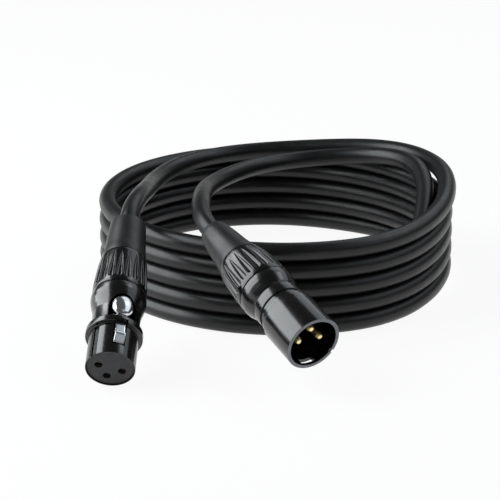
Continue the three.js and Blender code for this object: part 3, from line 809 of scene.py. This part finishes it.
def male_shell():
    outline = [
        (MALE_RIM_R, 0, 0.22),
        (MALE_RIM_R, 15.25, 0.3),
        (8.85, 15.3, 0.1),
        (8.85, 17.25, 0.25),
        (8.0, 17.3, 0.12),
        (8.0, 19.3, 0.12),
        (8.5, 19.35, 0.2),
        (8.5, 22.95, 0.2),
        (8.0, 23.0, 0.1),
        (8.0, 23.5, 0.1),
        (8.4, 24.1, 0.5),
        (8.95, 25.6, 1.5),
        (9.45, 27.2, 1.5),
        (9.6, 28.4, 1.2),
        (9.6, MALE_SHELL_END, 0.2),
        (SPIGOT_R, MALE_SHELL_END, 0),
        (SPIGOT_R, MALE_SPIGOT_END, 0.2),
        (SHELL_BORE, MALE_SPIGOT_END, 0.1),
        (SHELL_BORE, 17.9, 0),
        (SOCKET_R, 16.75, 0.2),
        (SOCKET_R, 0, 0.18),
    ]
    shell = revolve("shell_male", rounded(outline), MALE, sides=SHELL_SIDES)
    combine_boxes(shell, MALE_SHELL_BOXES, MALE)
    smooth(shell)
    dress(shell, SHELL, "black_shell", "root", "male_shell")
    paint_rim(shell)


def paint_rim(shell):
    """The flat front face of the rim has its own, lighter finish."""
    shell.data.materials.append(RIM)
    inverse = MALE.inverted()
    for polygon in shell.data.polygons:
        if (inverse @ polygon.center).z < RIM_FACE:
            polygon.material_index = 1


def male_insert():
    outline = [(0, 15, 0), (7.98, 15, 0.2), (7.98, 16.1, 0), (6.3, 17.4, 0), (6.3, 23.5, 0), (0, 23.5, 0)]
    insert = revolve("insert_male", rounded(outline, closed=False), MALE, closed=False)
    drill_contacts(insert, "hole", MALE_HOLE, MALE)
    smooth(insert)
    dress(insert, INSERT, "insert_plastic", "root", "male_insert")


def male_pin(number, x, y):
    """A pin with a round tip, and a cup for solder at its rear."""
    outline = [
        (0, 2.3, 0),
        (0.75, 2.3, 0.35),
        (1.2, 3.3, 0.5),
        (1.2, 23.8, 0),
        (1.45, 23.8, 0.1),
        (1.45, 27.0, 0.1),
        (1.05, 27.0, 0.05),
        (1.05, 24.5, 0),
        (0, 24.5, 0),
    ]
    place = MALE @ Matrix.Translation((x, y, 0))
    smoothed = rounded(outline, closed=False)
    pin = revolve(f"pin_male_{number}", smoothed, place, sides=PIN_SIDES, closed=False)
    smooth(pin)
    dress(pin, GOLD, "gold_contact", "root", f"male_pin_{number}")


def male_connector():
    male_shell()
    male_insert()
    for number, (x, y) in enumerate(CONTACT_PLACES, 1):
        male_pin(number, x, y)
    collar("collar_male", MALE_SHELL_END, MALE_COLLAR_PROFILE, MALE, "male_collar_body", "male_collar")
    boot("boot_male", MALE_SHELL_END, MALE_BOOT_OUTSIDE, MALE, "male_boot_body", "male_boot")
    cable_stub("cable_stub_male", MALE, MALE_BOOT_END)


# ---- Female connector ------------------------------------------------------------------------------

FEMALE_SHELL_END = 31.0
FEMALE_SPIGOT_END = FEMALE_SHELL_END + SPIGOT_LENGTH
NOSE_BORE = 7.35
NOSE_MOUTH = 7.72
SLOT_HALF = 2.1
SLOT_FROM = 3.9
SLOT_LOW = 4.97
LATCH_ROOM = [
    ("pocket", (-SLOT_HALF, SLOT_LOW, SLOT_FROM), (SLOT_HALF, 8.0, 29.7), 0, "DIFFERENCE"),
    ("nose_slot", (-SLOT_HALF, SLOT_LOW, SLOT_FROM + HAIR), (SLOT_HALF, 10.4, 14.1), 0, "DIFFERENCE"),
]
KEYWAY = [("keyway", (-1.1, 7.6, -1), (1.1, 10, 12.7), -KEY_ANGLE, "DIFFERENCE")]
FACE_DEPTH = 0.4
FACE_R = 7.55
INSERT_END = 15
SHELF_TOP = 4.57
INSERT_BOXES = [
    ("shelf", (-SLOT_HALF, 3.37, 14), (SLOT_HALF, SHELF_TOP, 23.4), 0, "UNION"),
    ("channel", (-SLOT_HALF, SHELF_TOP, SLOT_FROM), (SLOT_HALF, 9.0, 16), 0, "DIFFERENCE"),
]
FEMALE_HOLE = [(0, -1), (1.33, -1), (1.33, 2), (1.95, 2.05), (1.95, 16), (0, 16)]
FEMALE_COLLAR_PROFILE = [
    (31.3, 9.0),
    (35, 8.98),
    (38, 8.75),
    (41, 8.5),
    (43.5, 8.3),
    (45, 8.1),
    (47.5, 7.8),
]
FEMALE_BOOT_OUTSIDE = [
    (7.5, 47.8, 0.3),
    (7.35, 49.8, 0.8),
    (7.0, 52.4, 2),
    (6.6, 58.5, 3),
    (6.1, FEMALE_BOOT_END, 0.4),
]


def female_shell():
    outline = [
        (FEMALE_NOSE_R, 0, 0.25),
        (FEMALE_NOSE_R, 12.85, 0.15),
        (9.35, 12.9, 0.35),
        (9.35, 15.25, 0.35),
        (7.9, 15.6, 0.25),
        (7.88, 22.2, 1.5),
        (8.3, 24.4, 1.5),
        (8.95, 26.9, 1.5),
        (9.2, 28.6, 1.0),
        (9.15, 30.0, 0.6),
        (9.05, FEMALE_SHELL_END, 0.15),
        (SPIGOT_R, FEMALE_SHELL_END, 0),
        (SPIGOT_R, FEMALE_SPIGOT_END, 0.2),
        (SHELL_BORE, FEMALE_SPIGOT_END, 0.1),
        (SHELL_BORE, 16.8, 0),
        (NOSE_BORE, 15.8, 0),
        (NOSE_BORE, 1.2, 0),
        (NOSE_MOUTH, 0.6, 0),
        (NOSE_MOUTH, 0, 0.06),
    ]
    shell = revolve("shell_female", rounded(outline), FEMALE, sides=SHELL_SIDES)
    combine_boxes(shell, LATCH_ROOM, FEMALE)
    combine(shell, thumb_recess(), "DIFFERENCE")
    combine_boxes(shell, KEYWAY, FEMALE)
    smooth(shell)
    dress(shell, SHELL, "black_shell", "root", "female_shell")
    return shell


RECESS_HALF = 4.45
RECESS_FROM = 15.62
RECESS_END = 25.6
RECESS_FLOOR = 5.61
RECESS_TOP = 12.0
RECESS_SIDES = 24


def thumb_recess():
    """The room for the thumb tab, flat with a round rear end. Used as a cutter."""
    corners = [(-RECESS_HALF, RECESS_FROM), (RECESS_HALF, RECESS_FROM)]
    for i in range(RECESS_SIDES + 1):
        a = math.pi * i / RECESS_SIDES
        corners.append((RECESS_HALF * math.cos(a), RECESS_END - RECESS_HALF + RECESS_HALF * math.sin(a)))
    mesh = bmesh.new()
    face = mesh.faces.new([mesh.verts.new((x, RECESS_FLOOR, s)) for x, s in corners])
    top = bmesh.ops.extrude_face_region(mesh, geom=[face])
    moved = [v for v in top["geom"] if isinstance(v, bmesh.types.BMVert)]
    bmesh.ops.translate(mesh, verts=moved, vec=(0, RECESS_TOP - RECESS_FLOOR, 0))
    return mesh_piece("recess", mesh, FEMALE)


def female_insert():
    outline = [
        (0, FACE_DEPTH, 0),
        (FACE_R, FACE_DEPTH, 0.12),
        (FACE_R, 0.65, 0),
        (7.15, 1.3, 0),
        (7.05, INSERT_END, 0),
        (0, INSERT_END, 0),
    ]
    insert = revolve("insert_female", rounded(outline, closed=False), FEMALE, closed=False)
    combine_boxes(insert, INSERT_BOXES, FEMALE)
    drill_contacts(insert, "bore", FEMALE_HOLE, FEMALE)
    smooth(insert)
    dress(insert, INSERT, "insert_plastic", "root", "female_insert")
    return insert


LEVER_HALF = 1.7
LEVER_TOP = 7.7
LEVER_UNDER = 6.7
LEVER_SHARES = [0, 0.3, 0.55, 0.75, 0.88, 0.95, 0.985, 1]  # places across, from the middle to an edge
EDGE_FROM = 0.88
EDGE_FALL = 0.22
HOOK = [
    (4.7, 0.0),
    (5.2, 0.3),
    (7.3, 1.33),
    (7.8, 1.45),
    (8.4, 1.43),
    (8.62, 1.3),
    (8.78, 0.7),
    (9.0, 0.0),
]  # distance, and height over the strip
HOOK_ROWS = [4.7, 4.85, 5.2, 5.8, 6.5, 7.1, 7.3, 7.5, 7.8, 8.1, 8.4, 8.52, 8.62, 8.7, 8.78, 8.88, 9.0]
STRIP_ROWS = [9.3, 10, 11, 12, 13, 14, 15, 16]
REAR_ROWS = [25.5, 26.2, 26.8]
TAB_MIDDLE = 20.7
TAB_HALF_WIDE = 3.55
TAB_HALF_LONG = 4.3
TAB_HIGH = 2.0
BOSS_R = 1.2
BOSS_REACH = 0.999 * BOSS_R  # just inside its edge, where it still has a height
PIVOT_HEIGHT = 6.8
PIVOT_AT = 28.2
PIN_R = 0.8
PIN_HOLE_LENGTH = 6.2


def lever_half(s):
    """Half width of the latch lever: a strip that widens into the thumb tab."""
    reach = 1 - ((s - TAB_MIDDLE) / TAB_HALF_LONG) ** 2
    if reach <= 0:
        return LEVER_HALF
    return max(LEVER_HALF, TAB_HALF_WIDE * math.sqrt(reach))


def lever_top(x, s):
    """Height of the lever's upper side: hook, strip, domed tab and boss."""
    if s <= HOOK[-1][0]:
        for (s0, h0), (s1, h1) in zip(HOOK, HOOK[1:]):
            if s <= s1:
                break
        return LEVER_TOP + h0 + (h1 - h0) * (s - s0) / (s1 - s0)
    reach = 1 - ((s - TAB_MIDDLE) / TAB_HALF_LONG) ** 2 - (x / TAB_HALF_WIDE) ** 2
    if reach > 0:
        return LEVER_TOP + TAB_HIGH * math.sqrt(reach)
    boss = BOSS_R ** 2 - (s - PIVOT_AT) ** 2
    if boss > 0:
        return max(LEVER_TOP, PIVOT_HEIGHT + math.sqrt(boss))
    return LEVER_TOP


def lever_under(s):
    boss = BOSS_R ** 2 - (s - PIVOT_AT) ** 2
    if boss > 0:
        return min(LEVER_UNDER, PIVOT_HEIGHT - math.sqrt(boss))
    return LEVER_UNDER


def edge_fall(share):
    """How far the upper side drops where it rounds over to the lever's edge."""
    over = (abs(share) - EDGE_FROM) / (1 - EDGE_FROM)
    if over <= 0:
        return 0
    return EDGE_FALL * (1 - math.sqrt(max(0.0, 1 - over ** 2)))


def lever_distances():
    marks = HOOK_ROWS + STRIP_ROWS + REAR_ROWS
    marks += [TAB_MIDDLE - TAB_HALF_LONG * math.cos(math.radians(a)) for a in range(0, 181, 6)]
    marks += [PIVOT_AT - BOSS_REACH * math.cos(math.radians(a)) for a in range(0, 181, 15)]
    return sorted(marks)


def lever_loop(mesh, s):
    """One closed loop of points round the lever."""
    half = lever_half(s)
    under = lever_under(s)
    shares = [-share for share in reversed(LEVER_SHARES[1:])] + LEVER_SHARES
    loop = []
    for share in shares:
        x = half * share
        loop.append(mesh.verts.new((x, lever_top(x, s) - edge_fall(share), s)))
    for x in (half, half / 2, 0, -half / 2, -half):
        loop.append(mesh.verts.new((x, under, s)))
    return loop


def latch_lever():
    """Hook, strip, thumb tab and pivot boss of the latch, as one chromed piece."""
    mesh = bmesh.new()
    loops = [lever_loop(mesh, s) for s in lever_distances()]
    for low, high in zip(loops, loops[1:]):
        join_loops(mesh, low, high)
    mesh.faces.new(loops[0])
    mesh.faces.new(loops[-1])
    lever = mesh_piece("lever_latch", mesh, FEMALE)
    combine(lever, pin_hole(), "DIFFERENCE")
    smooth(lever, angle=40)
    dress(lever, CHROME, "latch_chrome", "latch", "latch_lever")
    return lever


def pin_hole():
    """A rod across the pivot boss. Used as a cutter."""
    mesh = bmesh.new()
    size = {"radius1": PIN_R, "radius2": PIN_R, "depth": PIN_HOLE_LENGTH}
    bmesh.ops.create_cone(mesh, cap_ends=True, segments=SMALL_SIDES, **size)
    lie = Matrix.Rotation(math.radians(90), 4, "Y")
    return mesh_piece("boss_hole", mesh, FEMALE @ Matrix.Translation((0, PIVOT_HEIGHT, PIVOT_AT)) @ lie)


def female_connector():
    """Builds the connector on the far end of the cord, and gives its pieces."""
    pieces = [female_shell(), female_insert(), latch_lever()]
    names = ("female_collar_body", "female_collar")
    pieces.append(collar("collar_female", FEMALE_SHELL_END, FEMALE_COLLAR_PROFILE, FEMALE, *names))
    names = ("female_boot_body", "female_boot")
    pieces.append(boot("boot_female", FEMALE_SHELL_END, FEMALE_BOOT_OUTSIDE, FEMALE, *names))
    pieces.append(cable_stub("cable_stub_female", FEMALE, FEMALE_BOOT_END))
    return pieces


male_connector()
female_pieces = female_connector()

# ---- Finishes of the solids that stay ----------------------------------------------------------------

KEPT = {
    "female_socket_1": GOLD,
    "female_socket_2": GOLD,
    "female_socket_3": GOLD,
    "latch_pin": CHROME,
    "latch_spring": CHROME,
    "male_cable_clamp": CLAMP,
    "female_cable_clamp": CLAMP,
    "male_core_red": RED,
    "female_core_red": RED,
    "male_core_white": WHITE,
    "female_core_white": WHITE,
    "male_drain_wire": COPPER,
    "female_drain_wire": COPPER,
}
for name, finish in KEPT.items():
    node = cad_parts[name]
    node.data.materials.clear()
    node.data.materials.append(finish)

# ---- Floor and light ---------------------------------------------------------------------------------

FLOOR_SIZE = 6
FLOOR_COLOUR = (0.9, 0.9, 0.9, 1)
FLOOR_WHITE = 0.92  # share of plain white in the floor that the camera and reflections see
WHITE_LIGHT = (1, 1, 1, 1)
ROOM_LEVEL = 0.1
HORIZON_LEVEL = 1.0
HORIZON_HEIGHT = 0.1  # where the pale band along the horizon has faded into the room
LAMP_DISTANCE = 0.8
LIT_POINT = (0, -0.04, 0.02)

# Name, azimuth from the back to the right and elevation in degrees, width and height in metres,
# radiance and colour.
LAMPS = [
    ("key_left", -87, 29, 0.78, 0.84, 5.3, (0.94, 0.985, 1.0)),
    ("key_edge", -53, 42, 0.24, 0.24, 2.4, (0.94, 0.985, 1.0)),
    ("soft_right", 62, 45, 1.7, 0.52, 1.0, (0.88, 0.95, 1.0)),
    ("right_spot", 60, 51, 0.22, 0.2, 1.8, (0.9, 0.96, 1.0)),
    ("front_fill", 140, 44, 0.3, 0.3, 0.32, (0.9, 0.96, 1.0)),
]


def add_math(tree, operation, first, second):
    """A math node on a socket and a second socket or number."""
    node = tree.nodes.new("ShaderNodeMath")
    node.operation = operation
    tree.links.new(first, node.inputs[0])
    if isinstance(second, bpy.types.NodeSocket):
        tree.links.new(second, node.inputs[1])
    else:
        node.inputs[1].default_value = second
    return node.outputs["Value"]


def floor_material():
    """A diffuse floor with shadows, which the camera and reflections see as nearly plain white."""
    material = bpy.data.materials.new("floor_white")
    material.use_nodes = True
    tree = material.node_tree
    tree.nodes.clear()
    diffuse = tree.nodes.new("ShaderNodeBsdfDiffuse")
    diffuse.inputs["Color"].default_value = FLOOR_COLOUR
    glow = tree.nodes.new("ShaderNodeEmission")
    glow.inputs["Color"].default_value = WHITE_LIGHT
    glow.inputs["Strength"].default_value = 1.0
    rays = tree.nodes.new("ShaderNodeLightPath").outputs
    mirrored = add_math(tree, "MAXIMUM", rays["Is Glossy Ray"], rays["Is Transmission Ray"])
    seen = add_math(tree, "MAXIMUM", rays["Is Camera Ray"], mirrored)
    mix = tree.nodes.new("ShaderNodeMixShader")
    out = tree.nodes.new("ShaderNodeOutputMaterial")
    tree.links.new(add_math(tree, "MULTIPLY", seen, FLOOR_WHITE), mix.inputs["Fac"])
    tree.links.new(diffuse.outputs["BSDF"], mix.inputs[1])
    tree.links.new(glow.outputs["Emission"], mix.inputs[2])
    tree.links.new(mix.outputs["Shader"], out.inputs["Surface"])
    return material


def add_floor():
    mesh = bmesh.new()
    bmesh.ops.create_grid(mesh, x_segments=1, y_segments=1, size=FLOOR_SIZE)
    data = bpy.data.meshes.new("floor")
    mesh.to_mesh(data)
    mesh.free()
    data.materials.append(floor_material())
    link_mesh("floor", data)


def add_world():
    """A dim room with a pale band along the horizon."""
    world = bpy.data.worlds.new("studio")
    bpy.context.scene.world = world
    world.use_nodes = True
    tree = world.node_tree
    tree.nodes.clear()
    where = tree.nodes.new("ShaderNodeTexCoord")
    split = tree.nodes.new("ShaderNodeSeparateXYZ")
    ramp = tree.nodes.new("ShaderNodeMapRange")
    ramp.interpolation_type = "SMOOTHSTEP"
    ramp.inputs["From Min"].default_value = 0.0
    ramp.inputs["From Max"].default_value = HORIZON_HEIGHT
    ramp.inputs["To Min"].default_value = HORIZON_LEVEL
    ramp.inputs["To Max"].default_value = ROOM_LEVEL
    room = tree.nodes.new("ShaderNodeBackground")
    room.inputs["Color"].default_value = WHITE_LIGHT
    out = tree.nodes.new("ShaderNodeOutputWorld")
    tree.links.new(where.outputs["Generated"], split.inputs["Vector"])
    tree.links.new(split.outputs["Z"], ramp.inputs["Value"])
    tree.links.new(ramp.outputs["Result"], room.inputs["Strength"])
    tree.links.new(room.outputs["Background"], out.inputs["Surface"])


def add_softbox(name, azimuth, elevation, width, height, radiance, colour):
    """A flat lamp facing the object."""
    around = math.radians(azimuth)
    up = math.radians(elevation)
    direction = Vector((math.sin(around) * math.cos(up), math.cos(around) * math.cos(up), math.sin(up)))
    data = bpy.data.lights.new(name, "AREA")
    data.shape = "RECTANGLE"
    data.size = width
    data.size_y = height
    data.energy = math.pi * width * height * radiance
    data.color = colour
    lamp = bpy.data.objects.new(name, data)
    lamp.location = Vector(LIT_POINT) + direction * LAMP_DISTANCE
    lamp.rotation_euler = direction.to_track_quat("Z", "Y").to_euler()
    bpy.context.scene.collection.objects.link(lamp)


add_floor()
add_world()
for lamp in LAMPS:
    add_softbox(*lamp)

bpy.context.scene.view_settings.view_transform = "Standard"
